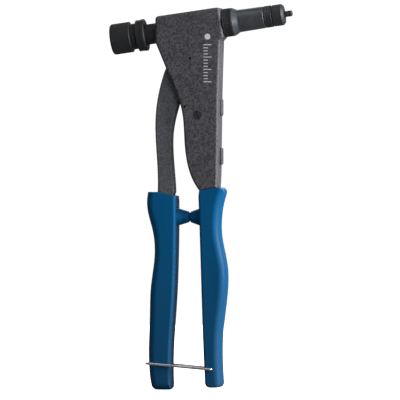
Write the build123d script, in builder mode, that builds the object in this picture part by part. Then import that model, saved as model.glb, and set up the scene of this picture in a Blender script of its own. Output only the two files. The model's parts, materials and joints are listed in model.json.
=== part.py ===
from build123d import *
import os
from math import cos, radians, sin

# Hand riveter for blind rivet nuts, with long handles.
#
# Millimetres. +Z runs up along the closed handles, +X points out of the nose and the tool faces -Y.
# The origin is the middle of the nosepiece's end face, on the barrel's axis. Places along the
# barrel are stations: distances from that face, negative towards the rear knob.
# The handles are modelled closed and latched, with the mandrel drawn back.

# --- barrel line ---------------------------------------------------------------------------------
barrel_tilt = 8.1
nosepiece_radius = 8.4
nosepiece_face_radius = 7.0
nosepiece_cone_start = -1.6
nosepiece_rear = -8.5
nose_nut_front, nose_nut_rear = -9.35, -15.4
nose_nut_radius = 8.5
nose_sleeve_front = -15.5
nose_sleeve_front_radius, nose_sleeve_rear_radius = 8.55, 8.85
nose_cone_front, nose_cone_rear = -36.2, -40.6
nose_cone_radius = 11.0
lock_ring_front, lock_ring_rear = -40.7, -48.4
lock_ring_radius = 11.1
nose_face = -48.6
nose_thread_radius = 8.0
nose_thread_end = -55.3
mandrel_radius = 2.5
mandrel_shank_radius = 2.3
mandrel_thread_rear, mandrel_tip = 0.2, 6.3
spindle_radius = 4.0
sleeve_radius = 8.0
sleeve_front = -62.0
flange_front, flange_rear = -110.2, -112.9
flange_radius = 12.5
bearing_radius = 12.3
knob_hub_front, knob_hub_rear = -116.9, -121.4
knob_hub_radius = 10.1
knob_taper_rear = -122.2
knob_rear = -137.8
knob_radius = 12.0

# --- body, lever and handles ---------------------------------------------------------------------
body_depth = 22.0
cheek_gap = 16.6
head_height = 12.6  # of the body's top above the barrel's axis
rear_face_x = -100.4
rear_wall = 5.0
front_wall_rear = -67.5  # station of the front guide's inner face
spine_thickness = 4.0
running = 0.05  # radial clearance of a shaft in its hole
pivot_station, pivot_drop = -77.1, 24.0
pivot_radius = 4.0
lever_travel = 15.0  # degrees from closed to open
lever_thickness = 11.0
hub_radius = 10.0
hub_width = 16.0
prong_thickness = 2.6
prong_tip_radius = 5.0
prong_neck = 3.7  # half width of a prong where it passes the sleeve's underside
slot_play = 0.15
grip_depth = 21.5
palm_round = 5.5
finger_round = 1.8
boss_height = -157.8  # Z of the stop bosses that meet when the handles close
boss_meeting_x = -74.6
boss_play = 0.15  # half the gap left between the two bosses
boss_base_radius, boss_tip_radius = 7.0, 4.3
screw_x, screw_z = -67.1, -78.3

# --- wire bail -----------------------------------------------------------------------------------
wire_radius = 1.0
bail_hinge_x, bail_hinge_z = -55.8, -276.4
bail_loop_x, bail_loop_z = -107.75, -271.9
bail_half_width = 12.15
bail_end = 4.5  # distance of each wire end from the middle plane

# --- directions and planes -----------------------------------------------------------------------
tilt = radians(barrel_tilt)
along = Vector(cos(tilt), 0, sin(tilt))
above = Vector(-sin(tilt), 0, cos(tilt))
barrel_axis = Axis((0, 0, 0), along)
barrel_side = Plane(origin=(0, 0, 0), x_dir=along, z_dir=(0, -1, 0))
pivot = along * pivot_station - above * pivot_drop
prong_lean = radians(lever_travel / 2)


def point_at(station, height):
    """The (X, Z) place of a point given along and above the barrel's axis."""
    place = along * station + above * height
    return (place.X, place.Z)


def across(station):
    """The plane square to the barrel at a station, facing out of the nose."""
    return Plane(origin=along * station, x_dir=(0, 1, 0), z_dir=along)


def outline_plane(depth):
    """The plane that an outline is drawn on, to be extruded by depth evenly about the middle."""
    return Plane.XZ.offset(-depth / 2)


def facing_front(x, z, y):
    """The plane at depth y, centred on a cross pin at (x, z), facing the front of the tool."""
    return Plane(origin=(x, y, z), x_dir=(1, 0, 0), z_dir=(0, -1, 0))


def turned(*outline):
    """A piece turned about the barrel's axis, from the (station, radius) corners of its section."""
    with BuildPart() as piece:
        with BuildSketch(barrel_side):
            with BuildLine():
                Polyline(*outline, close=True)
            make_face()
        revolve(axis=barrel_axis)
    return piece


def ring(front, rear, inner, outer):
    """A plain ring on the barrel's axis."""
    return turned((front, inner), (front, outer), (rear, outer), (rear, inner))


def cross_tube(x, z, front, back, outer, inner=0.0):
    """A round bar or tube across the tool, between two depths."""
    with BuildPart() as piece:
        with BuildSketch(facing_front(x, z, back)):
            Circle(outer)
            if inner:
                Circle(inner, mode=Mode.SUBTRACT)
        extrude(amount=back - front)
    return piece


def stop_boss(root_x, base_x, tip_x):
    """A cone that stands out of a grip, square to the handles, and meets its twin."""
    step = 1.0 if tip_x > base_x else -1.0
    with BuildPart() as boss:
        with BuildSketch(Plane.XZ):
            with BuildLine():
                Polyline(
                    (root_x, boss_height),
                    (root_x, boss_height + boss_base_radius),
                    (base_x, boss_height + boss_base_radius),
                    (tip_x - 0.8 * step, boss_height + boss_tip_radius),
                    (tip_x, boss_height + boss_tip_radius - 1.0),
                    (tip_x, boss_height),
                    close=True,
                )
            make_face()
        revolve(axis=Axis((0, 0, boss_height), (1, 0, 0)))
    return boss


def round_long_edges(grip, palm_side):
    """Rounds a grip's two long edges, broadly on the palm side (+1 nose, -1 rear), then finely."""
    for side, radius in ((palm_side, palm_round), (-palm_side, finger_round)):
        rims = grip.faces().filter_by(Axis.Y).edges()
        long_edges = rims.filter_by(lambda edge: edge.length > 100).sort_by(Axis.X)
        fillet(long_edges[-2:] if side > 0 else long_edges[:2], radius=radius)


# =================================================================================================
# Body: one casting, with a head round the barrel, two cheeks, a spine and a tang for the grip
# =================================================================================================
pad_depth = 0.6
shoulder_rear, shoulder_nose = (-65.6, -137.4), (-51.8, -134.8)
tang_depth = 12.0
spine_top = (-49.2, -20.5)
spine_x = -50.4
head_top_rear = (rear_face_x, (head_height + rear_face_x * sin(tilt)) / cos(tilt))

with BuildPart() as frame_body:
    with BuildSketch(outline_plane(body_depth)):
        with BuildLine():
            crest = Line(point_at(nose_face, head_height), head_top_rear)
            rear = Line(crest @ 1, (rear_face_x, -21.5))
            slope = Line(rear @ 1, (-91.5, -43.0))
            cheek_edge = Spline(
                slope @ 1,
                (-84.6, -58.8),
                (-79.2, -76.5),
                (-77.4, -98.5),
                (-75.4, -114.9),
                shoulder_rear,
            )
            Polyline(
                cheek_edge @ 1,
                shoulder_nose,
                (-51.2, -124.0),
                (spine_x, -60.0),
                spine_top,
                point_at(nose_face, -10.8),
                crest @ 0,
            )
        make_face()
    extrude(amount=body_depth)
    corners = frame_body.edges().filter_by(Axis.Y)
    fillet(corners.sort_by(Axis.Z)[-2:] + corners.sort_by(Axis.X)[:1], radius=2.6)
    fillet(frame_body.faces().filter_by(Axis.Y).edges(), radius=1.8)

    # low cast pads on the spine, on the far half of its face
    for pad_top, pad_bottom in ((-66.0, -79.0), (-104.0, -117.0)):
        with BuildSketch(Plane.YZ.offset(spine_x - 2.0)):
            with Locations((4.5, (pad_top + pad_bottom) / 2)):
                RectangleRounded(11.0, pad_top - pad_bottom, 2.5)
        extrude(amount=2.0 + pad_depth)

    # the tang that the grip is moulded over
    with BuildSketch(outline_plane(tang_depth)):
        Polygon((-62.5, -132.0), (-53.0, -132.0), (-53.0, -255.0), (-59.6, -255.0), align=None)
    extrude(amount=tang_depth)

    # the space between the cheeks, open behind for the lever
    with BuildSketch(outline_plane(cheek_gap)):
        with BuildLine():
            Polyline(
                point_at(front_wall_rear, 8.5),
                point_at(front_wall_rear, -head_height),
                (spine_x - spine_thickness, -28.0),
                (spine_x - spine_thickness - 0.6, -104.0),
                (-62.0, -112.0),
                (-84.0, -112.0),
                (-104.0, -60.0),
                (-104.0, -27.0),
                (rear_face_x + rear_wall, -27.0),
                point_at((rear_face_x + rear_wall) / cos(tilt), 8.5),
                close=True,
            )
        make_face()
    extrude(amount=cheek_gap, mode=Mode.SUBTRACT)

    # guide bore for the draw sleeve, through the rear and front walls
    with BuildSketch(across(nose_face + 5.0)):
        Circle(sleeve_radius + running)
    extrude(amount=-65.0, mode=Mode.SUBTRACT)

    # pivot pin hole with a seat for its head, and the cross screw's hole with its own
    for place, hole, seat, seat_depth in (
        ((pivot.X, pivot.Z), pivot_radius, 5.1, 1.5),
        ((screw_x, screw_z), 2.05, 3.4, 1.5),
    ):
        with BuildSketch(facing_front(*place, body_depth / 2)):
            Circle(hole)
        extrude(amount=body_depth, mode=Mode.SUBTRACT)
        with BuildSketch(facing_front(*place, seat_depth - body_depth / 2)):
            Circle(seat)
        extrude(amount=seat_depth, mode=Mode.SUBTRACT)

    # blind gauge hole in the near cheek
    with BuildSketch(facing_front(-76.9, -71.7, 2.3 - body_depth / 2)):
        Circle(0.9)
    extrude(amount=2.3, mode=Mode.SUBTRACT)

# =================================================================================================
# Nose: screwed-in sleeve, its lock ring, and the nosepiece with its lock nut
# =================================================================================================
sleeve_bore = 6.2
nosepiece_thread_radius = 5.5
nosepiece_thread_end = -22.0
mandrel_hole = 2.6

with BuildPart() as nose_sleeve:
    with BuildSketch(barrel_side):
        with BuildLine():
            Polyline(
                (nose_sleeve_front, nose_sleeve_front_radius - 0.5),
                (nose_sleeve_front - 0.6, nose_sleeve_front_radius),
                (nose_cone_front, nose_sleeve_rear_radius),
                (nose_cone_rear + 0.4, nose_cone_radius),
                (nose_cone_rear, nose_cone_radius),
                (nose_cone_rear, nose_thread_radius),
                (nose_thread_end, nose_thread_radius),
                (nose_thread_end, sleeve_bore),
                (nosepiece_thread_end - 2.0, sleeve_bore),
                (nosepiece_thread_end - 2.0, nosepiece_thread_radius + running),
                (nose_sleeve_front, nosepiece_thread_radius + running),
                close=True,
            )
        make_face()
    revolve(axis=barrel_axis)

front_lock_ring = turned(
    (lock_ring_front, nose_thread_radius + running),
    (lock_ring_front, lock_ring_radius - 0.4),
    (lock_ring_front - 0.4, lock_ring_radius),
    (lock_ring_rear + 0.4, lock_ring_radius),
    (lock_ring_rear, lock_ring_radius - 0.4),
    (lock_ring_rear, nose_thread_radius + running),
)

nosepiece = turned(
    (0.0, mandrel_hole),
    (0.0, nosepiece_face_radius),
    (nosepiece_cone_start, nosepiece_radius),
    (nosepiece_rear, nosepiece_radius),
    (nosepiece_rear, 7.0),
    (nose_nut_front + 0.05, 7.0),
    (nose_nut_front + 0.05, nosepiece_thread_radius),
    (nosepiece_thread_end, nosepiece_thread_radius),
    (nosepiece_thread_end, mandrel_hole),
)

nosepiece_lock_nut = turned(
    (nose_nut_front, nosepiece_thread_radius + 2 * running),
    (nose_nut_front, nose_nut_radius - 0.4),
    (nose_nut_front - 0.4, nose_nut_radius),
    (nose_nut_rear + 0.4, nose_nut_radius),
    (nose_nut_rear, nose_nut_radius - 0.4),
    (nose_nut_rear, nosepiece_thread_radius + 2 * running),
)

# =================================================================================================
# Spindle line: mandrel, coupling, spindle and rear knob turn together in the draw sleeve
# =================================================================================================
coupling_front, coupling_rear = -33.0, -47.0
coupling_radius = 5.8
mandrel_end = -41.0
spindle_front = -41.5
spindle_rear = -133.5
ring_groove_front, ring_groove_rear = -63.2, -64.2
washer_rear = -65.2
screw_radius = 2.5
screw_seat = -134.6

mandrel = turned(
    (mandrel_end, 0.0),
    (mandrel_end, mandrel_shank_radius),
    (mandrel_thread_rear, mandrel_shank_radius),
    (mandrel_thread_rear, mandrel_radius),
    (mandrel_tip - 0.7, mandrel_radius),
    (mandrel_tip, mandrel_radius - 0.6),
    (mandrel_tip, 0.0),
)

with BuildPart() as mandrel_coupling:
    with BuildSketch(across(coupling_rear)):
        RegularPolygon(coupling_radius, 6)
        Circle(spindle_radius, mode=Mode.SUBTRACT)
    extrude(amount=spindle_front - coupling_rear)
    with BuildSketch(across(spindle_front)):
        RegularPolygon(coupling_radius, 6)
        Circle(mandrel_shank_radius, mode=Mode.SUBTRACT)
    extrude(amount=coupling_front - spindle_front)

spindle = turned(
    (spindle_front, 0.0),
    (spindle_front, spindle_radius),
    (ring_groove_front, spindle_radius),
    (ring_groove_front, 3.4),
    (ring_groove_rear, 3.4),
    (ring_groove_rear, spindle_radius),
    (spindle_rear, spindle_radius),
    (spindle_rear, screw_radius),
    (spindle_rear + 12.0, screw_radius),
    (spindle_rear + 12.0, 0.0),
)

snap_ring = ring(ring_groove_front - 0.02, ring_groove_rear + 0.02, 3.4, 5.6)
sleeve_washer = ring(ring_groove_rear, washer_rear, spindle_radius + running, 6.2)

knob = turned(
    (knob_hub_front, spindle_radius),
    (knob_hub_front, knob_hub_radius),
    (knob_hub_rear, knob_hub_radius),
    (knob_taper_rear, knob_radius),
    (knob_rear + 1.8, knob_radius),
    (knob_rear, knob_radius - 1.8),
    (knob_rear, 5.4),
    (screw_seat, 5.4),
    (screw_seat, screw_radius + 0.1),
    (spindle_rear, screw_radius + 0.1),
    (spindle_rear, spindle_radius),
)

knob_washer = ring(screw_seat, screw_seat - 0.8, screw_radius + 0.1, 5.0)

with BuildPart() as knob_screw:
    with BuildSketch(barrel_side):
        with BuildLine():
            Polyline(
                (spindle_rear + 11.0, 0.0),
                (spindle_rear + 11.0, screw_radius),
                (screw_seat - 0.8, screw_radius),
                (screw_seat - 0.8, 4.2),
                (knob_rear + 0.9, 4.2),
                (knob_rear + 0.4, 3.7),
                (knob_rear + 0.4, 0.0),
                close=True,
            )
        make_face()
    revolve(axis=barrel_axis)
    with BuildSketch(across(knob_rear + 0.4)):
        RegularPolygon(2.3, 6)
    extrude(amount=1.6, mode=Mode.SUBTRACT)

# =================================================================================================
# Needle thrust bearing between the knob's hub and the draw sleeve's flange
# =================================================================================================
race_thickness = 1.0
needle_count = 16
needle_radius = 0.98
needle_length = 4.6
needle_ring_radius = 8.0
bearing_bore = 4.4
cage_thickness = 1.6
needle_plane = (knob_hub_front + flange_rear) / 2

thrust_race_rear = ring(knob_hub_front + race_thickness, knob_hub_front, bearing_bore, bearing_radius)
thrust_race_front = ring(flange_rear, flange_rear - race_thickness, bearing_bore, bearing_radius)

with BuildPart() as thrust_cage:
    with BuildSketch(across(needle_plane - cage_thickness / 2)):
        Circle(bearing_radius - 0.1)
        Circle(bearing_bore, mode=Mode.SUBTRACT)
        with PolarLocations(needle_ring_radius, needle_count):
            Rectangle(needle_length + 0.2, 2 * needle_radius + 0.1, mode=Mode.SUBTRACT)
    extrude(amount=cage_thickness)

with BuildPart() as thrust_needles:
    for number in range(needle_count):
        turn = Location(across(needle_plane)) * Rot(0, 0, 360 / needle_count * number)
        with BuildSketch(Plane(turn * Pos(needle_ring_radius - needle_length / 2, 0, 0) * Rot(0, 90, 0))):
            Circle(needle_radius)
        extrude(amount=needle_length)

# =================================================================================================
# Draw sleeve: slides in the body, drawn by the lever's fork in its two side slots
# =================================================================================================
slot_station = pivot_station - pivot_drop * sin(prong_lean)
slot_half_width = prong_tip_radius + slot_play
slot_floor = sleeve_radius - prong_thickness - 0.2
wrench_flat = 7.4

with BuildPart() as draw_sleeve:
    with BuildSketch(barrel_side):
        with BuildLine():
            rim = Line((flange_rear, spindle_radius + running), (flange_rear, flange_radius - 0.3))
            edge = Polyline(rim @ 1, (flange_rear + 0.3, flange_radius), (flange_front - 0.8, flange_radius))
            shoulder = TangentArc(edge @ 1, (flange_front, flange_radius - 0.8), tangent=(1, 0))
            Polyline(
                shoulder @ 1,
                (flange_front, sleeve_radius),
                (sleeve_front, sleeve_radius),
                (sleeve_front, 6.4),
                (washer_rear, 6.4),
                (washer_rear, spindle_radius + running),
                rim @ 0,
            )
        make_face()
    revolve(axis=barrel_axis)
    for side in (-1, 1):
        with BuildSketch(Plane(origin=(0, side * slot_floor, 0), x_dir=along, z_dir=(0, side, 0))):
            with Locations((slot_station, 0)):
                Rectangle(2 * slot_half_width, 4 * sleeve_radius)
        extrude(amount=prong_thickness + 1.0, mode=Mode.SUBTRACT)
        with BuildSketch(Plane(origin=(0, side * wrench_flat, 0), x_dir=along, z_dir=(0, side, 0))):
            with Locations((flange_front + 4.5, 0)):
                Rectangle(7.0, 2 * sleeve_radius)
        extrude(amount=2.0, mode=Mode.SUBTRACT)

# =================================================================================================
# Lever: cast arm, hub and fork in one piece, turning on a bronze bush
# =================================================================================================
bush_radius = 5.5
prong_inner = hub_width / 2 - prong_thickness
tip_x, tip_z = point_at(slot_station, -pivot_drop * (1 - cos(prong_lean)))

with BuildPart() as moving_lever:
    with BuildSketch(outline_plane(lever_thickness)):
        with BuildLine():
            back_edge = Spline(
                (-78.0, -25.9),
                (-85.5, -31.5),
                (-92.8, -41.5),
                (-95.5, -48.8),
                (-98.9, -62.0),
                (-101.3, -82.0),
                (-100.3, -110.0),
                (-99.5, -137.5),
            )
            arm_end = Polyline(
                back_edge @ 1,
                (-98.0, -142.0),
                (-98.0, -255.0),
                (-90.5, -255.0),
                (-87.6, -142.0),
            )
            front_edge = Spline(
                (-86.1, -137.5),
                (-88.2, -108.0),
                (-88.0, -91.5),
                (-84.2, -73.5),
                (-77.5, -56.0),
                (-66.5, -42.4),
            )
            Line(arm_end @ 1, front_edge @ 0)
            Line(front_edge @ 1, back_edge @ 0)
        make_face()
    extrude(amount=lever_thickness)
    rims = moving_lever.faces().filter_by(Axis.Y).edges()
    fillet(rims.filter_by(lambda edge: edge.length > 90 and edge.center().Z > -140), radius=1.5)

    with BuildSketch(facing_front(pivot.X, pivot.Z, hub_width / 2)):
        Circle(hub_radius)
    extrude(amount=hub_width)

    # one prong each side of the draw sleeve, with a round tip that fills the sleeve's slot
    lean = Plane(
        origin=(pivot.X, 0, pivot.Z),
        x_dir=(cos(tilt + prong_lean), 0, sin(tilt + prong_lean)),
        z_dir=(0, -1, 0),
    )
    for inner in (-hub_width / 2, prong_inner):
        with BuildSketch(lean.offset(inner)):
            Polygon(
                (-hub_radius + 1.5, 4.0),
                (hub_radius - 1.5, 4.0),
                (prong_neck, 16.0),
                (prong_neck, pivot_drop),
                (-prong_neck, pivot_drop),
                (-prong_neck, 16.0),
                align=None,
            )
            with Locations((0, pivot_drop)):
                Circle(prong_tip_radius)
        extrude(amount=prong_thickness)

    with BuildSketch(facing_front(pivot.X, pivot.Z, hub_width / 2)):
        Circle(bush_radius)
    extrude(amount=hub_width, mode=Mode.SUBTRACT)

pivot_bush = cross_tube(pivot.X, pivot.Z, -hub_width / 2, hub_width / 2, bush_radius, pivot_radius + running)

# =================================================================================================
# Grips: moulded plastic, each with a stop boss
# =================================================================================================
with BuildPart() as fixed_grip:
    with BuildSketch(outline_plane(grip_depth)):
        with BuildLine():
            palm = Spline(
                (-46.6, -140.5),
                (-49.9, -156.0),
                (-50.0, -172.0),
                (-45.6, -196.0),
                (-45.2, -212.0),
                (-49.0, -248.0),
                (-49.3, -272.0),
                (-48.6, -284.5),
            )
            heel = Polyline(palm @ 1, (-48.9, -290.7), (-61.2, -290.8), (-61.3, -284.5))
            fingers = Spline(heel @ 1, (-62.4, -262.0), (-64.0, -215.0), (-65.6, -164.0), (-66.4, -142.0))
            Polyline(fingers @ 1, shoulder_rear, shoulder_nose, (-46.6, -134.9), palm @ 0)
        make_face()
    extrude(amount=grip_depth)
    corners = fixed_grip.edges().filter_by(Axis.Y)
    fillet(corners.sort_by(Axis.Z)[:2] + corners.sort_by(Axis.X)[-1:], radius=4.0)
    round_long_edges(fixed_grip, 1)
    add(stop_boss(-63.0, -66.2, boss_meeting_x + boss_play).part)
    add(frame_body.part, mode=Mode.SUBTRACT)
    for hand in (-1, 1):
        with BuildSketch(Plane(origin=(0, hand * (bail_end - 0.3), 0), x_dir=(1, 0, 0), z_dir=(0, hand, 0))):
            with Locations((bail_hinge_x, -hand * bail_hinge_z)):
                Circle(wire_radius + running)
        extrude(amount=grip_depth, mode=Mode.SUBTRACT)

with BuildPart() as lever_grip:
    with BuildSketch(outline_plane(grip_depth)):
        with BuildLine():
            palm = Spline(
                (-107.5, -142.8),
                (-107.2, -152.4),
                (-103.3, -168.0),
                (-101.7, -188.0),
                (-104.6, -212.0),
                (-105.5, -236.0),
                (-106.3, -266.0),
                (-105.0, -285.0),
            )
            heel = Polyline(palm @ 1, (-103.4, -292.4), (-90.6, -292.6), (-89.1, -291.2), (-88.8, -286.0))
            fingers = Spline(heel @ 1, (-88.8, -262.0), (-86.4, -224.0), (-84.8, -180.0), (-84.6, -146.0))
            Polyline(fingers @ 1, (-85.2, -141.4), (-99.8, -138.3), (-106.9, -138.3), palm @ 0)
        make_face()
    extrude(amount=grip_depth)
    fillet(lever_grip.edges().filter_by(Axis.Y).sort_by(Axis.Z)[1], radius=4.5)
    round_long_edges(lever_grip, -1)
    add(stop_boss(-88.0, -84.4, boss_meeting_x - boss_play).part)
    add(moving_lever.part, mode=Mode.SUBTRACT)

# =================================================================================================
# Pivot pin and its ring; the cross screw, its spacer, nut and return spring
# =================================================================================================
pin_back = 12.9
pin_head_depth = 1.5
groove_front, groove_back = 11.3, 12.1
nut_height = 2.0
screw_slot = 0.9
slot_angle = 110.0
spring_wire = 1.6
spring_inner = 4.6
spring_length = 8.0
spring_lever_end = (-80.6, -64.6)
spring_spine_end = (-56.6, -97.0)

with BuildPart() as pivot_pin:
    with BuildSketch(facing_front(pivot.X, pivot.Z, pin_back)):
        Circle(pivot_radius)
    extrude(amount=pin_back + body_depth / 2 - pin_head_depth)
    with BuildSketch(facing_front(pivot.X, pivot.Z, pin_head_depth - body_depth / 2)):
        Circle(5.0)
    extrude(amount=pin_head_depth)
    with BuildSketch(facing_front(pivot.X, pivot.Z, groove_back)):
        Circle(pivot_radius + 1.0)
        Circle(pivot_radius - 0.5, mode=Mode.SUBTRACT)
    extrude(amount=groove_back - groove_front, mode=Mode.SUBTRACT)
    with BuildSketch(facing_front(pivot.X, pivot.Z, 1.4 - body_depth / 2)):
        Circle(1.0)
    extrude(amount=2.0, mode=Mode.SUBTRACT)

with BuildPart() as pivot_ring:
    with BuildSketch(facing_front(pivot.X, pivot.Z, groove_back)):
        Circle(6.4)
        Circle(pivot_radius - 0.5, mode=Mode.SUBTRACT)
        with Locations((0, -4.6)):
            Rectangle(4.4, 6.0, mode=Mode.SUBTRACT)
        with PolarLocations(5.0, 2, start_angle=0, angular_range=180, endpoint=True):
            Circle(0.9, mode=Mode.SUBTRACT)
    extrude(amount=groove_back - groove_front)

with BuildPart() as cross_screw:
    with BuildSketch(facing_front(screw_x, screw_z, body_depth / 2 + nut_height - 0.3)):
        Circle(2.0)
    extrude(amount=body_depth + nut_height - 0.3 - 1.5)
    with BuildSketch(facing_front(screw_x, screw_z, 1.5 - body_depth / 2)):
        Circle(3.25)
    extrude(amount=1.4)
    with BuildSketch(facing_front(screw_x, screw_z, 0.9 - body_depth / 2)):
        Rectangle(8.0, screw_slot, rotation=slot_angle)
    extrude(amount=2.0, mode=Mode.SUBTRACT)

with BuildPart() as cross_nut:
    with BuildSketch(facing_front(screw_x, screw_z, body_depth / 2 + nut_height)):
        RegularPolygon(3.5, 6, major_radius=False)
        Circle(2.0, mode=Mode.SUBTRACT)
    extrude(amount=nut_height)

spacer_tube = cross_tube(screw_x, screw_z, -cheek_gap / 2, cheek_gap / 2, 4.4, 2.05)

with BuildPart() as return_spring:
    with BuildSketch(facing_front(screw_x, screw_z, spring_length / 2)):
        Circle(spring_inner + spring_wire)
        Circle(spring_inner, mode=Mode.SUBTRACT)
    extrude(amount=spring_length)
    for (end_x, end_z), depth in (
        (spring_lever_end, (spring_wire - spring_length) / 2),
        (spring_spine_end, (spring_length - spring_wire) / 2),
    ):
        reach = Vector(end_x - screw_x, 0, end_z - screw_z)
        sideways = Vector(-reach.Z, 0, reach.X).normalized() * (spring_inner + spring_wire / 2)
        start = Vector(screw_x, depth, screw_z) + sideways
        leg = Vector(end_x, depth, end_z) - start
        with BuildSketch(Plane(origin=start, z_dir=leg)):
            Circle(spring_wire / 2 - 0.1)
        extrude(amount=leg.length)

# =================================================================================================
# Wire bail: hinged in the fixed grip, looped over the lever's grip to hold the handles closed
# =================================================================================================
bail_reach = Vector(bail_loop_x - bail_hinge_x, 0, bail_loop_z - bail_hinge_z)
bail_plane = Plane(
    origin=(bail_hinge_x, 0, bail_hinge_z),
    x_dir=bail_reach,
    z_dir=bail_reach.cross(Vector(0, 1, 0)),
)

with BuildPart() as wire_bail:
    with BuildLine(bail_plane) as bail_path:
        FilletPolyline(
            (0, bail_end),
            (0, bail_half_width),
            (bail_reach.length, bail_half_width),
            (bail_reach.length, -bail_half_width),
            (0, -bail_half_width),
            (0, -bail_end),
            radius=[1.4, 4.5, 4.5, 1.4],
        )
    with BuildSketch(Plane(origin=bail_path.line @ 0, z_dir=bail_path.line % 0)):
        Circle(wire_radius)
    sweep()

# =================================================================================================
pieces = {
    "frame_body": frame_body,
    "fixed_grip": fixed_grip,
    "nose_sleeve": nose_sleeve,
    "front_lock_ring": front_lock_ring,
    "nosepiece": nosepiece,
    "nosepiece_lock_nut": nosepiece_lock_nut,
    "mandrel": mandrel,
    "mandrel_coupling": mandrel_coupling,
    "spindle": spindle,
    "snap_ring": snap_ring,
    "sleeve_washer": sleeve_washer,
    "draw_sleeve": draw_sleeve,
    "thrust_race_front": thrust_race_front,
    "thrust_cage": thrust_cage,
    "thrust_needles": thrust_needles,
    "thrust_race_rear": thrust_race_rear,
    "knob": knob,
    "knob_washer": knob_washer,
    "knob_screw": knob_screw,
    "moving_lever": moving_lever,
    "pivot_bush": pivot_bush,
    "lever_grip": lever_grip,
    "pivot_pin": pivot_pin,
    "pivot_ring": pivot_ring,
    "cross_screw": cross_screw,
    "cross_nut": cross_nut,
    "spacer_tube": spacer_tube,
    "return_spring": return_spring,
    "wire_bail": wire_bail,
}
os.makedirs("parts", exist_ok=True)
for name, piece in pieces.items():
    piece.part.label = name
    export_step(piece.part, f"parts/{name}.step")
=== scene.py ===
import json
from math import cos, pi, radians, sin

import bpy
import numpy as np
from mathutils import Matrix, Vector


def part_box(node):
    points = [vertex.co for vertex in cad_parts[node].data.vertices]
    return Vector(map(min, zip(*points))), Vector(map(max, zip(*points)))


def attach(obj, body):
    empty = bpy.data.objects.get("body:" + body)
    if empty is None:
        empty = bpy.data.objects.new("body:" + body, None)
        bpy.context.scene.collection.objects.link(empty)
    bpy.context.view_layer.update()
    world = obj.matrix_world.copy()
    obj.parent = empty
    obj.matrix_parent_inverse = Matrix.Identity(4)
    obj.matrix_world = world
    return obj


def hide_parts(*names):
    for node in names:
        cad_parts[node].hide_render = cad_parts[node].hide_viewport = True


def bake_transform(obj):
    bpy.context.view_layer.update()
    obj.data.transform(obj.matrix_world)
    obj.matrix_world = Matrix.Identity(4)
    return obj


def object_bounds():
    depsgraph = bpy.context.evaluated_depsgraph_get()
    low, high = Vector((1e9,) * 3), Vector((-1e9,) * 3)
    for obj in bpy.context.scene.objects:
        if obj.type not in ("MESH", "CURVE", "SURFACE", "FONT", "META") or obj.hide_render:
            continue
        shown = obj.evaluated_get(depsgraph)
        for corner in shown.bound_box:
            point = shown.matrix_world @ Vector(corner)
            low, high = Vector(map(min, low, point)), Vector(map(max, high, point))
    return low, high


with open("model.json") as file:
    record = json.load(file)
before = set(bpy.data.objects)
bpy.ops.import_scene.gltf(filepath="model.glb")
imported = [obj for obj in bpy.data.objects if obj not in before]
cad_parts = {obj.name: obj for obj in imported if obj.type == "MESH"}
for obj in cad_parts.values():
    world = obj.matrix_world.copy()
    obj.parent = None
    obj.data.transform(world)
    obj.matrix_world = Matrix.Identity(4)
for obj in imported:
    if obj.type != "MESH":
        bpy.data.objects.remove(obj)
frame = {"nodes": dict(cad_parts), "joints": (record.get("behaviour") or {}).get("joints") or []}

# Looks of the hand riveter. Metres, in the frame's axes: +Z up the closed handles, +X out of the
# nose, -Y towards the viewer. Stations run along the barrel, 0 at the nosepiece's end face.
mm = 0.001
nodes = frame["nodes"]
cad_low, cad_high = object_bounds()
joints = {joint["name"]: joint for joint in frame["joints"]}
barrel = Vector(joints["draw_slide"]["axis"]).normalized()
barrel_tilt = barrel.angle(Vector((1, 0, 0)))
barrel_frame = Matrix.Rotation(-barrel_tilt, 4, "Y")
collection = bpy.context.scene.collection


# --- places read from the frame ------------------------------------------------------------------
def span(node):
    """The rear and front stations of a node on the barrel, and its largest radius."""
    mesh = nodes[node].data
    points = np.empty(len(mesh.vertices) * 3)
    mesh.vertices.foreach_get("co", points)
    points = points.reshape(-1, 3)
    stations = points @ np.array(barrel)
    radii = np.linalg.norm(points - np.outer(stations, np.array(barrel)), axis=1)
    return stations.min(), stations.max(), radii.max()


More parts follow.
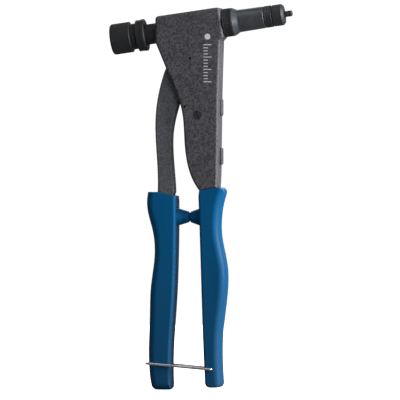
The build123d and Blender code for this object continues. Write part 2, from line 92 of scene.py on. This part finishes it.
# --- materials -----------------------------------------------------------------------------------
class Shade:
    """One material, with short ways to add its nodes."""

    def __init__(self, name):
        self.material = bpy.data.materials.new(name)
        self.material.use_nodes = True
        self.tree = self.material.node_tree
        self.shader = self.tree.nodes["Principled BSDF"]
        self.place = self.add("ShaderNodeTexCoord").outputs["Object"]

    def add(self, kind, inputs=None, **settings):
        """A new node with its settings and inputs."""
        made = self.tree.nodes.new(kind)
        for key, value in settings.items():
            setattr(made, key, value)
        for key, value in (inputs or {}).items():
            self.feed(made.inputs[key], value)
        return made

    def feed(self, socket, value):
        """Links a socket, or sets its value."""
        if isinstance(value, bpy.types.NodeSocket):
            self.tree.links.new(value, socket)
        else:
            socket.default_value = value

    def set(self, **values):
        """Feeds the shader's inputs, named with _ for their spaces."""
        for key, value in values.items():
            self.feed(self.shader.inputs[key.replace("_", " ")], value)

    def noise(self, size, detail=3.0, roughness=0.55):
        """Noise whose features are about size across, in metres."""
        inputs = {
            "Vector": self.place,
            "Scale": 1.0 / size,
            "Detail": detail,
            "Roughness": roughness,
        }
        return self.add("ShaderNodeTexNoise", inputs).outputs[0]

    def streaks(self, density, detail, roughness, turn=0.0):
        """Noise that runs one way: features per metre by axis, in axes turned about Y."""
        inputs = {"Vector": self.place, "Scale": density, "Rotation": (0, turn, 0)}
        stretched = self.add("ShaderNodeMapping", inputs).outputs[0]
        inputs = {"Vector": stretched, "Scale": 1.0, "Detail": detail, "Roughness": roughness}
        return self.add("ShaderNodeTexNoise", inputs).outputs[0]

    def spots(self, spacing):
        """Distance to scattered points."""
        inputs = {"Vector": self.place, "Scale": 1.0 / spacing}
        return self.add("ShaderNodeTexVoronoi", inputs).outputs["Distance"]

    def band(self, value, low, high, to_low=0.0, to_high=1.0):
        """A value spread from one range to another, held at its ends."""
        inputs = {0: value, 1: low, 2: high, 3: to_low, 4: to_high}
        return self.add("ShaderNodeMapRange", inputs).outputs[0]

    def math(self, operation, first, second):
        """Two values put through a Math operation."""
        return self.add("ShaderNodeMath", {0: first, 1: second}, operation=operation).outputs[0]

    def mix(self, factor, first, second):
        """Two colours mixed, each a link or (r, g, b)."""
        first_colour, second_colour, result_colour = 6, 7, 2
        made = self.add("ShaderNodeMix", {0: factor}, data_type="RGBA")
        for number, colour in ((first_colour, first), (second_colour, second)):
            value = (*colour, 1.0) if isinstance(colour, tuple) else colour
            self.feed(made.inputs[number], value)
        return made.outputs[result_colour]

    def bump(self, height, depth, strength, under=None):
        """A normal raised by a height, over another normal if there is one."""
        inputs = {"Height": height, "Distance": depth, "Strength": strength}
        if under is not None:
            inputs["Normal"] = under
        return self.add("ShaderNodeBump", inputs).outputs[0]

    def edges(self, radius, start=0.985, full=0.86):
        """1 on edges sharper than radius, 0 on flats."""
        soft = self.add("ShaderNodeBevel", {"Radius": radius}, samples=4).outputs[0]
        true = self.add("ShaderNodeNewGeometry").outputs["Normal"]
        facing = self.add("ShaderNodeVectorMath", {0: soft, 1: true}, operation="DOT_PRODUCT")
        return self.band(facing.outputs["Value"], start, full)

    def crevice_shade(self, colour):
        """A colour darkened by painted shade, with some dirt, in slots, pits and corners."""
        reach, shade_and_dirt = 2.5 * mm, (0.004, 0.004, 0.004)
        inputs = {"Distance": reach}
        openness = self.add("ShaderNodeAmbientOcclusion", inputs, samples=8).outputs["AO"]
        return self.mix(self.band(openness, 0.15, 0.7), shade_and_dirt, colour)


def cast_enamel(name, dark, light, worn):
    """Wrinkled enamel on a rough casting, rubbed to metal on its edges."""
    wrinkle_size, wrinkle_depth, wrinkle_share = 1.3 * mm, 0.2 * mm, 0.7
    grain_size, grain_depth = 0.6 * mm, 0.06 * mm
    cloud_size, dust_size = 12 * mm, 26 * mm
    pit_spacing, chip_size, edge_radius = 2.4 * mm, 2.6 * mm, 0.8 * mm

    shade = Shade(name)
    cloud = shade.noise(cloud_size, 4.0)
    dust = shade.noise(dust_size, 5.0)
    wrinkle = shade.noise(wrinkle_size, 2.0, 0.5)
    grain = shade.noise(grain_size, 3.0, 0.6)
    chips = shade.noise(chip_size, 5.0)
    pits = shade.spots(pit_spacing)
    mottle = shade.math(
        "ADD",
        shade.band(wrinkle, 0.38, 0.62, 0.0, wrinkle_share),
        shade.band(grain, 0.3, 0.7, 0.0, 1.0 - wrinkle_share),
    )
    clouded = shade.math("MULTIPLY", mottle, shade.band(cloud, 0.3, 0.7, 0.7, 1.0))
    paint = shade.mix(clouded, dark, light)
    dusty = shade.mix(shade.band(dust, 0.5, 0.75, 0.0, 0.25), paint, light)
    chipped = shade.math("MULTIPLY", shade.edges(edge_radius), shade.band(chips, 0.5, 0.62))
    height = shade.math("ADD", wrinkle, shade.math("MULTIPLY", pits, 0.3))
    coarse = shade.bump(height, wrinkle_depth, 0.6)
    shade.set(
        # base colour with painted shade, and some dirt, in slots, pits and corners
        Base_Color=shade.crevice_shade(shade.mix(chipped, dusty, worn)),
        Roughness=shade.band(grain, 0.25, 0.75, 0.5, 0.72),
        Metallic=shade.math("MULTIPLY", chipped, 0.8),
        Specular_IOR_Level=0.4,
        Normal=shade.bump(grain, grain_depth, 0.6, coarse),
    )
    return shade.material


def moulded_vinyl(name, deep, bright, shaded_low_colour):
    """Satin moulded plastic: a leathery micro texture, flow marks, scuffs, and painted shade low
    down.
    """
    painted_shade_low, painted_shade_high, painted_shade_most = -290 * mm, -150 * mm, 0.85
    flow_density, flow_depth = (24, 40, 7), 0.6 * mm
    scuff_density, scuff_turn = (130, 130, 420), 0.5
    grain_size, grain_depth = 0.55 * mm, 0.05 * mm
    edge_radius = 1.4 * mm
    pale = tuple(min(1.0, 2.0 * channel + 0.03) for channel in bright)

    shade = Shade(name)
    height_up = shade.add("ShaderNodeSeparateXYZ", {0: shade.place}).outputs["Z"]
    flow = shade.streaks(flow_density, 4.0, 0.5)
    scuff = shade.streaks(scuff_density, 6.0, 0.7, scuff_turn)
    leather = shade.noise(grain_size, 2.0)
    rubbed = shade.band(scuff, 0.62, 0.72, 0.0, 0.12)
    clean = shade.mix(shade.band(flow, 0.3, 0.7), deep, bright)
    # painted shade: the colour darkens towards the grips' lower ends
    painted_shade = shade.band(height_up, painted_shade_low, painted_shade_high, painted_shade_most, 0.0)
    tone = shade.mix(painted_shade, clean, shaded_low_colour)
    edge = shade.math("MULTIPLY", shade.edges(edge_radius, 0.99, 0.8), 0.25)
    height = shade.math("ADD", leather, shade.math("MULTIPLY", rubbed, 0.6))
    coarse = shade.bump(flow, flow_depth, 0.25)
    shade.set(
        Base_Color=shade.mix(shade.math("MAXIMUM", rubbed, edge), tone, pale),
        Roughness=shade.math("ADD", shade.band(flow, 0.3, 0.7, 0.42, 0.5), rubbed),
        Specular_IOR_Level=0.15,
        IOR=1.35,
        Normal=shade.bump(height, grain_depth, 0.6, coarse),
    )
    return shade.material


def turned_steel(name, dark, light, worn, rough, metal=1.0):
    """Steel turned on a lathe: fine rings round the barrel, oil stains and bright worn edges."""
    ring_density, ring_depth = (5200, 60, 60), 0.02 * mm
    stain_size, edge_radius = 7 * mm, 0.45 * mm
    speck_size, speck_depth = 0.8 * mm, 0.03 * mm

    shade = Shade(name)
    rings = shade.streaks(ring_density, 3.0, 0.7, barrel_tilt)
    stain = shade.noise(stain_size, 5.0, 0.6)
    speck = shade.noise(speck_size, 3.0)
    tone = shade.mix(shade.band(stain, 0.3, 0.72), dark, light)
    wear = shade.band(speck, 0.36, 0.56, 0.25, 1.0)
    rubbed = shade.math("MULTIPLY", shade.edges(edge_radius), wear)
    gloss = shade.band(rings, 0.3, 0.7, rough - 0.06, rough + 0.08)
    coarse = shade.bump(speck, speck_depth, 0.3)
    shade.set(
        # base colour with painted shade, and some dirt, in grooves, slots and corners
        Base_Color=shade.crevice_shade(shade.mix(rubbed, tone, worn)),
        Roughness=shade.math("ADD", gloss, shade.band(stain, 0.55, 0.8, 0.0, 0.12)),
        Metallic=metal,
        Normal=shade.bump(rings, ring_depth, 0.7, coarse),
    )
    return shade.material


def drawn_wire(name, colour, stained, rough):
    """Plated or drawn wire: long fine draw lines and a few dull spots."""
    line_density, line_depth = (40, 900, 900), 0.015 * mm
    dull_size = 5 * mm

    shade = Shade(name)
    lines = shade.streaks(line_density, 3.0, 0.6)
    dull = shade.band(shade.noise(dull_size, 5.0), 0.52, 0.7)
    gloss = shade.band(lines, 0.3, 0.7, rough - 0.05, rough + 0.08)
    shade.set(
        Base_Color=shade.mix(dull, colour, stained),
        Roughness=shade.math("ADD", gloss, shade.math("MULTIPLY", dull, 0.15)),
        Metallic=1.0,
        Normal=shade.bump(lines, line_depth, 0.5),
    )
    return shade.material


def printed_ink(name, colour, thin):
    """Pale marking ink, worn thin in places."""
    wear_size, wear_depth = 0.7 * mm, 0.03 * mm

    shade = Shade(name)
    wear = shade.noise(wear_size, 5.0, 0.7)
    shade.set(
        Base_Color=shade.mix(shade.band(wear, 0.52, 0.68, 0.0, 0.6), colour, thin),
        Roughness=shade.band(wear, 0.3, 0.7, 0.45, 0.65),
        Normal=shade.bump(wear, wear_depth, 0.5),
    )
    return shade.material


body_paint = cast_enamel(
    "body_enamel",
    dark=(0.020, 0.019, 0.022),
    light=(0.104, 0.101, 0.117),
    worn=(0.22, 0.22, 0.23),
)
# a lighter, bluer copy of the body's enamel: partly the lever's own finish, partly painted light
# that offsets the shadow the body's cheek throws on the lever
lever_paint_lightened = cast_enamel(
    "lever_enamel",
    dark=(0.048, 0.051, 0.058),
    light=(0.142, 0.149, 0.163),
    worn=(0.26, 0.26, 0.27),
)
blue_vinyl = moulded_vinyl(
    "blue_vinyl",
    deep=(0.0005, 0.063, 0.165),
    bright=(0.0010, 0.088, 0.222),
    # the colour of the painted shade low on the grips
    shaded_low_colour=(0.006, 0.054, 0.125),
)
dark_steel = turned_steel(
    "blackened_steel",
    dark=(0.045, 0.049, 0.057),
    light=(0.072, 0.079, 0.091),
    worn=(0.24, 0.24, 0.25),
    rough=0.42,
    metal=0.4,
)
nose_steel = turned_steel(
    "dark_nose_steel",
    dark=(0.016, 0.017, 0.019),
    light=(0.028, 0.030, 0.034),
    worn=(0.07, 0.07, 0.075),
    rough=0.55,
    metal=0.2,
)
black_steel = turned_steel(
    "black_oxide",
    dark=(0.009, 0.010, 0.011),
    light=(0.017, 0.018, 0.021),
    worn=(0.036, 0.036, 0.04),
    rough=0.6,
    metal=0.15,
)
bare_steel = turned_steel(
    "bare_steel",
    dark=(0.36, 0.36, 0.37),
    light=(0.55, 0.55, 0.56),
    worn=(0.75, 0.75, 0.76),
    rough=0.26,
)
hard_steel = turned_steel(
    "ground_steel",
    dark=(0.42, 0.42, 0.44),
    light=(0.62, 0.62, 0.64),
    worn=(0.8, 0.8, 0.8),
    rough=0.18,
)
bronze = turned_steel(
    "sintered_bronze",
    dark=(0.30, 0.17, 0.07),
    light=(0.50, 0.31, 0.13),
    worn=(0.70, 0.48, 0.24),
    rough=0.38,
)
spring_steel = drawn_wire(
    "spring_steel",
    colour=(0.16, 0.16, 0.17),
    stained=(0.08, 0.07, 0.065),
    rough=0.34,
)
bright_wire = drawn_wire(
    "plated_wire",
    colour=(0.60, 0.60, 0.62),
    stained=(0.34, 0.33, 0.32),
    rough=0.28,
)
ink = printed_ink("marking_ink", colour=(0.62, 0.62, 0.62), thin=(0.2, 0.2, 0.21))

# the sharpest turn between faces, in degrees, that is still shaded as smooth
crease = 32.0
finishes = {
    body_paint: ["frame_body", "pivot_pin"],
    lever_paint_lightened: ["moving_lever"],
    blue_vinyl: ["fixed_grip", "lever_grip"],
    dark_steel: ["nose_sleeve"],
    nose_steel: ["nosepiece", "cross_screw", "cross_nut"],
    black_steel: [
        "draw_sleeve",
        "thrust_race_front",
        "thrust_cage",
        "thrust_race_rear",
        "knob_screw",
    ],
    bare_steel: ["spacer_tube", "mandrel_coupling", "spindle", "sleeve_washer", "knob_washer"],
    hard_steel: ["thrust_needles"],
    spring_steel: ["pivot_ring", "snap_ring"],
    bronze: ["pivot_bush"],
    bright_wire: ["wire_bail"],
}
for finish, members in finishes.items():
    for member in members:
        member_mesh = nodes[member].data
        member_mesh.materials.clear()
        member_mesh.materials.append(finish)
        member_mesh.shade_smooth()
        member_mesh.set_sharp_from_angle(angle=radians(crease))


# --- pieces --------------------------------------------------------------------------------------
def piece(name, points, faces, material, body, slot, *stands_for, sharp=crease):
    """A finished mesh object that rides on a body, if one is named, and may stand for CAD nodes."""
    mesh = bpy.data.meshes.new(name)
    mesh.from_pydata([tuple(point) for point in points], [], faces)
    mesh.validate()
    mesh.materials.append(material)
    mesh.shade_smooth()
    mesh.set_sharp_from_angle(angle=radians(sharp))
    made = bpy.data.objects.new(name, mesh)
    collection.objects.link(made)
    if body:
        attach(made, body)
    if stands_for:
        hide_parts(*stands_for)
    return made


def steps(start, stop, size):
    """Evenly spaced values from start to stop, about size apart."""
    count = max(2, int(round(abs(stop - start) / size)) + 1)
    return [float(value) for value in np.linspace(start, stop, count)]


def lathe(rings, segments, relief, hollow=True):
    """Points and faces of a turned shape on the barrel, from (station, radius) rings, front first.
    relief(station, angles, radius) adds to the radius. A hollow shape's last ring joins its first.
    """
    angles = np.arange(segments) * 2 * pi / segments
    points = []
    for station, radius in rings:
        radii = radius + relief(station, angles, radius)
        across, up = radii * np.cos(angles), radii * np.sin(angles)
        local = np.column_stack([np.full(segments, station), across, up])
        points.extend(barrel_frame @ Vector(row) for row in local)
    faces = []
    count = len(rings)
    for ring in range(count if hollow else count - 1):
        first, second = ring * segments, (ring + 1) % count * segments
        for at in range(segments):
            after = (at + 1) % segments
            faces.append((first + at, first + after, second + after, second + at))
    if not hollow:
        faces.append(tuple(range(segments))[::-1])
        faces.append(tuple(range((count - 1) * segments, count * segments)))
    return points, faces


def thread(pitch, depth, begin, end):
    """Relief of a screw thread between two stations, fading out over one pitch at each end."""
    steepness, crest = 2.6, 0.15

    def cut(station, angles, radius):
        turn = (station / pitch - angles / (2 * pi)) % 1.0
        flank = np.clip(steepness * np.abs(turn - 0.5) - crest, 0.0, 1.0)
        fade = np.clip(min(station - begin, end - station) / pitch, 0.0, 1.0)
        return -depth * flank * fade

    return cut


def diamond(count, slope, depth, begin, end, least):
    """Relief of a diamond knurl between two stations, left smooth inside the least radius."""
    run_out = 0.5 * mm

    def cut(station, angles, radius):
        if radius < least or not begin <= station <= end:
            return np.zeros_like(angles)
        first = np.abs(np.sin(count * angles / 2 + slope * station))
        second = np.abs(np.sin(count * angles / 2 - slope * station))
        fade = min(1.0, min(station - begin, end - station) / run_out)
        return -depth * fade * (1 - np.minimum(first, second))

    return cut


def ribs(count, slope, depth, begin, end, least):
    """Relief of ribs between two stations, slanting round the barrel where they have a slope, and
    left smooth inside the least radius.
    """
    run_out, sharpness = 0.6 * mm, 1.5

    def cut(station, angles, radius):
        if radius < least or not begin <= station <= end:
            return np.zeros_like(angles)
        wave = 0.5 - 0.5 * np.cos(count * angles + slope * station)
        fade = min(1.0, min(station - begin, end - station) / run_out)
        return -depth * fade * wave**sharpness

    return cut


def mandrel_piece():
    """The mandrel, threaded along its free length and plain at its held end."""
    rear, front, radius = span("mandrel")
    pitch, thread_depth = 0.8 * mm, 0.46 * mm
    thread_rear, fade_end = rear + 20 * mm, front + 0.4 * mm
    chamfer_length, chamfer_depth = 0.7 * mm, 0.6 * mm
    core = radius - 0.2 * mm
    spacing, segments = 0.1 * mm, 64
    chamfer_rear = front - chamfer_length
    rings = [(front, radius - chamfer_depth), (chamfer_rear, radius)]
    rings += [(at, radius) for at in steps(chamfer_rear - spacing / 2, thread_rear, spacing)]
    rings += [(thread_rear - spacing, core), (rear, core)]
    cut = thread(pitch, thread_depth, thread_rear, fade_end)
    shape = lathe(rings, segments, cut, hollow=False)
    piece(
        "mandrel_thread",
        *shape,
        black_steel,
        "spindle_line",
        "black_steel",
        "mandrel",
        sharp=60,
    )


def knob_piece():
    """The knob: a smooth hub, a ribbed grip with a rounded end, and the screw's counterbore."""
    rear, front, radius = span("knob")
    hub_radius, shaft_hole, bore = 10.1 * mm, 4.1 * mm, 5.4 * mm
    hub_rear, taper_rear, bore_floor = front - 4.5 * mm, front - 5.3 * mm, rear + 3.2 * mm
    hub_bevel, bore_bevel, round_over = 0.3 * mm, 0.4 * mm, 1.8 * mm
    rib_count, rib_depth, facets_per_rib = 46, 0.32 * mm, 10
    rib_rear, rib_front, rib_root = rear + 1.0 * mm, taper_rear - 0.4 * mm, radius - 0.8 * mm
    spacing = 0.5 * mm
    rings = [
        (front, shaft_hole),
        (front, hub_radius - hub_bevel),
        (front - hub_bevel, hub_radius),
        (hub_rear, hub_radius),
        (taper_rear, radius - hub_bevel),
        (taper_rear - hub_bevel, radius),
    ]
    rings += [(at, radius) for at in steps(taper_rear - spacing, rear + round_over, spacing)]
    for angle in steps(0.2, pi / 2, 0.25):
        inset, drop = round_over * (1 - sin(angle)), round_over * (1 - cos(angle))
        rings.append((rear + inset, radius - drop))
    rings += [
        (rear, bore + bore_bevel),
        (rear + bore_bevel, bore),
        (bore_floor, bore),
        (bore_floor, shaft_hole),
    ]
    cut = ribs(rib_count, 0.0, rib_depth, rib_rear, rib_front, rib_root)
    shape = lathe(rings, rib_count * facets_per_rib, cut)
    piece("knob_ribbed", *shape, black_steel, "spindle_line", "black_steel", "knob", sharp=50)


# the bevel on the outer edges of the two knurled rings
bevel = 0.4 * mm


def bevelled_tube(rear, front, radius, bore, spacing):
    """Rings of a tube with bevelled outer edges, close enough together for a knurl."""
    margin = bevel + 0.1 * mm
    rings = [(front, bore), (front, radius - bevel), (front - bevel, radius)]
    rings += [(at, radius) for at in steps(front - margin, rear + margin, spacing)]
    return rings + [(rear + bevel, radius), (rear, radius - bevel), (rear, bore)]


def lock_ring_piece():
    """The front lock ring with its diamond knurl."""
    rear, front, radius = span("front_lock_ring")
    bore, spacing, plain_end = 8.05 * mm, 0.12 * mm, 1.0 * mm
    knurl_count, knurl_slope, knurl_depth, facets = 68, 3.1 / mm, 0.32 * mm, 6
    begin, end, least = rear + plain_end, front - plain_end, radius - bevel / 2
    rings = bevelled_tube(rear, front, radius, bore, spacing)
    cut = diamond(knurl_count, knurl_slope, knurl_depth, begin, end, least)
    shape = lathe(rings, knurl_count * facets, cut)
    piece(
        "front_lock_ring_knurled",
        *shape,
        black_steel,
        "body",
        "black_steel",
        "front_lock_ring",
        sharp=80,
    )


def lock_nut_piece():
    """The nosepiece's lock nut with its slanting ribs."""
    rear, front, radius = span("nosepiece_lock_nut")
    bore, spacing, plain_end = 5.6 * mm, 0.15 * mm, 0.6 * mm
    rib_count, rib_slope, rib_depth, facets = 44, 2.6 / mm, 0.3 * mm, 8
    begin, end, least = rear + plain_end, front - plain_end, radius - bevel / 2
    rings = bevelled_tube(rear, front, radius, bore, spacing)
    cut = ribs(rib_count, rib_slope, rib_depth, begin, end, least)
    shape = lathe(rings, rib_count * facets, cut)
    piece(
        "nosepiece_lock_nut_knurled",
        *shape,
        nose_steel,
        "nosepiece_nut",
        "black_steel",
        "nosepiece_lock_nut",
        sharp=80,
    )


def tube_along(path, radius):
    """Points and faces of a round wire with closed ends along a list of points."""
    sides = 16
    points, faces = [], []
    count = len(path)
    normal = Vector((0, 0, 0))
    for number, centre in enumerate(path):
        ahead = path[min(number + 1, count - 1)] - path[max(number - 1, 0)]
        ahead.normalize()
        seed = normal if normal.length else ahead.orthogonal()
        normal = (seed - ahead * seed.dot(ahead)).normalized()
        across = ahead.cross(normal)
        for side in range(sides):
            angle = 2 * pi * side / sides
            points.append(centre + radius * (normal * cos(angle) + across * sin(angle)))
    for ring in range(count - 1):
        for side in range(sides):
            first, after = ring * sides + side, ring * sides + (side + 1) % sides
            faces.append((first, after, after + sides, first + sides))
    faces.append(tuple(range(sides))[::-1])
    faces.append(tuple(range((count - 1) * sides, count * sides)))
    return points, faces


def spring_piece():
    """A torsion spring on the spacer, one leg on the spine and one on the lever."""
    low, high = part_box("return_spring")
    tube_low, tube_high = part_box("spacer_tube")
    centre = (tube_low + tube_high) / 2
    wire, coil_radius, turns, points_per_turn = 0.7 * mm, 5.4 * mm, 4, 40
    lever_end = Vector((low.x + wire, low.y + wire, high.z - wire))
    spine_end = Vector((high.x - wire, high.y - wire, low.z + wire))

    def tangents(end):
        """The angles at which the coil's two tangents to an end leave it."""
        reach = Vector((end.x - centre.x, end.z - centre.z))
        middle, spread = np.arctan2(reach.y, reach.x), np.arccos(coil_radius / reach.length)
        return middle - spread, middle + spread

    first, last = tangents(lever_end)[1], tangents(spine_end)[0]
    sweep = 2 * pi * (turns - 1) + (last - first) % (2 * pi)
    path = [lever_end]
    for share in np.linspace(0.0, 1.0, turns * points_per_turn + 1):
        angle = first + sweep * share
        depth = lever_end.y + (spine_end.y - lever_end.y) * share
        x, z = centre.x + coil_radius * cos(angle), centre.z + coil_radius * sin(angle)
        path.append(Vector((x, depth, z)))
    path.append(spine_end)
    made = piece(
        "return_spring_coil",
        *tube_along(path, wire),
        spring_steel,
        None,
        "spring_steel",
        "return_spring",
        sharp=60,
    )
    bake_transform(made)


def stroke_marks():
    """A plain printed scale with an index dot on the near cheek, in place of any lettering."""
    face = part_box("frame_body")[0].y - 0.03 * mm
    top = Vector((-62.0 * mm, face, -23.7 * mm))
    down, across = Vector((0, 0, -1)), Vector((1, 0, 0))
    scale_length, marks, long_every = 28.8 * mm, 13, 4
    long_mark, short_mark, line_width = 6.3 * mm, 3.5 * mm, 0.6 * mm
    dot_rise, dot_radius, dot_sides = 6.3 * mm, 2.3 * mm, 32
    points, faces = [], []

    def outline(corners):
        faces.append(tuple(range(len(points), len(points) + len(corners))))
        points.extend(corners)

    half = down * line_width / 2
    for number in range(marks):
        start = top + down * scale_length * number / (marks - 1)
        end = start + across * (short_mark if number % long_every else long_mark)
        outline([start - half, start + half, end + half, end - half])
    centre = top - down * dot_rise + across * long_mark / 2
    turns = [2 * pi * side / dot_sides for side in range(dot_sides)]
    outline([centre + dot_radius * Vector((cos(turn), 0, sin(turn))) for turn in turns])
    piece("stroke_scale", points, faces, ink, "body", "body_paint")


mandrel_piece()
knob_piece()
lock_ring_piece()
lock_nut_piece()
spring_piece()
stroke_marks()


# --- floor, light and camera ---------------------------------------------------------------------
def floor():
    """A white floor that looks evenly lit to the horizon and throws little light back up."""
    half_size = 60.0
    height = cad_low.z - 0.1 * mm
    patch_size, glow = 0.4, 0.82
    pale, paler, dim = (0.88, 0.88, 0.88), (0.93, 0.93, 0.93), (0.18, 0.18, 0.18)
    shade = Shade("pale_floor")
    seen = shade.add("ShaderNodeLightPath").outputs["Is Camera Ray"]
    shade.set(
        Base_Color=shade.mix(seen, dim, shade.mix(shade.noise(patch_size), pale, paler)),
        Roughness=0.9,
        Specular_IOR_Level=0.1,
        Emission_Color=(1, 1, 1, 1),
        Emission_Strength=shade.math("MULTIPLY", seen, glow),
    )
    signs = ((-1, -1), (1, -1), (1, 1), (-1, 1))
    mesh = bpy.data.meshes.new("floor")
    corners = [(half_size * x, half_size * y, height) for x, y in signs]
    mesh.from_pydata(corners, [], [(0, 1, 2, 3)])
    mesh.materials.append(shade.material)
    made = bpy.data.objects.new("floor", mesh)
    collection.objects.link(made)


def square_light(name, place, size, power):
    """A square lamp at a place counted from the tool's middle, turned towards it."""
    data = bpy.data.lights.new(name, "AREA")
    data.shape = "SQUARE"
    data.size = size
    data.energy = power
    made = bpy.data.objects.new(name, data)
    made.location = (cad_low + cad_high) / 2 + Vector(place)
    made.rotation_mode = "QUATERNION"
    made.rotation_quaternion = (-Vector(place)).to_track_quat("-Z", "Y")
    collection.objects.link(made)


def surroundings():
    """An even white background, dimmer as a light source than it looks."""
    as_light, as_seen = 0.2, 1.05
    world = bpy.data.worlds.new("studio")
    world.use_nodes = True
    tree = world.node_tree
    background = tree.nodes["Background"]
    background.inputs["Color"].default_value = (1, 1, 1, 1)
    seen = tree.nodes.new("ShaderNodeLightPath").outputs["Is Camera Ray"]
    strength = tree.nodes.new("ShaderNodeMapRange")
    strength.inputs["To Min"].default_value = as_light
    strength.inputs["To Max"].default_value = as_seen
    tree.links.new(seen, strength.inputs["Value"])
    tree.links.new(strength.outputs[0], background.inputs["Strength"])
    bpy.context.scene.world = world
    bpy.context.scene.view_settings.view_transform = "Standard"


def camera():
    """A long lens, level with the tool's middle and ten degrees to the nose side."""
    azimuth, elevation, distance = radians(10), radians(0.4), 5.0
    view_width = 312 * mm
    aim = Vector((-66.7, 0, -144.6)) * mm
    level = cos(elevation)
    away = Vector((sin(azimuth) * level, -cos(azimuth) * level, sin(elevation)))
    data = bpy.data.cameras.new("camera")
    data.sensor_width = 36
    data.lens = data.sensor_width * distance / view_width
    data.clip_start, data.clip_end = 0.1, 200
    made = bpy.data.objects.new("camera", data)
    made.location = aim + away * distance
    made.rotation_mode = "QUATERNION"
    made.rotation_quaternion = (-away).to_track_quat("-Z", "Y")
    collection.objects.link(made)
    bpy.context.scene.camera = made


floor()
square_light("key", place=(1.6, -0.2, 0.5), size=0.9, power=68)
square_light("fill", place=(1.1, -1.2, 0.15), size=0.7, power=9)
square_light("top", place=(-0.25, -0.6, 1.5), size=0.8, power=3.5)
square_light("back", place=(-0.5, 1.6, 0.6), size=1.4, power=16)
surroundings()
camera()
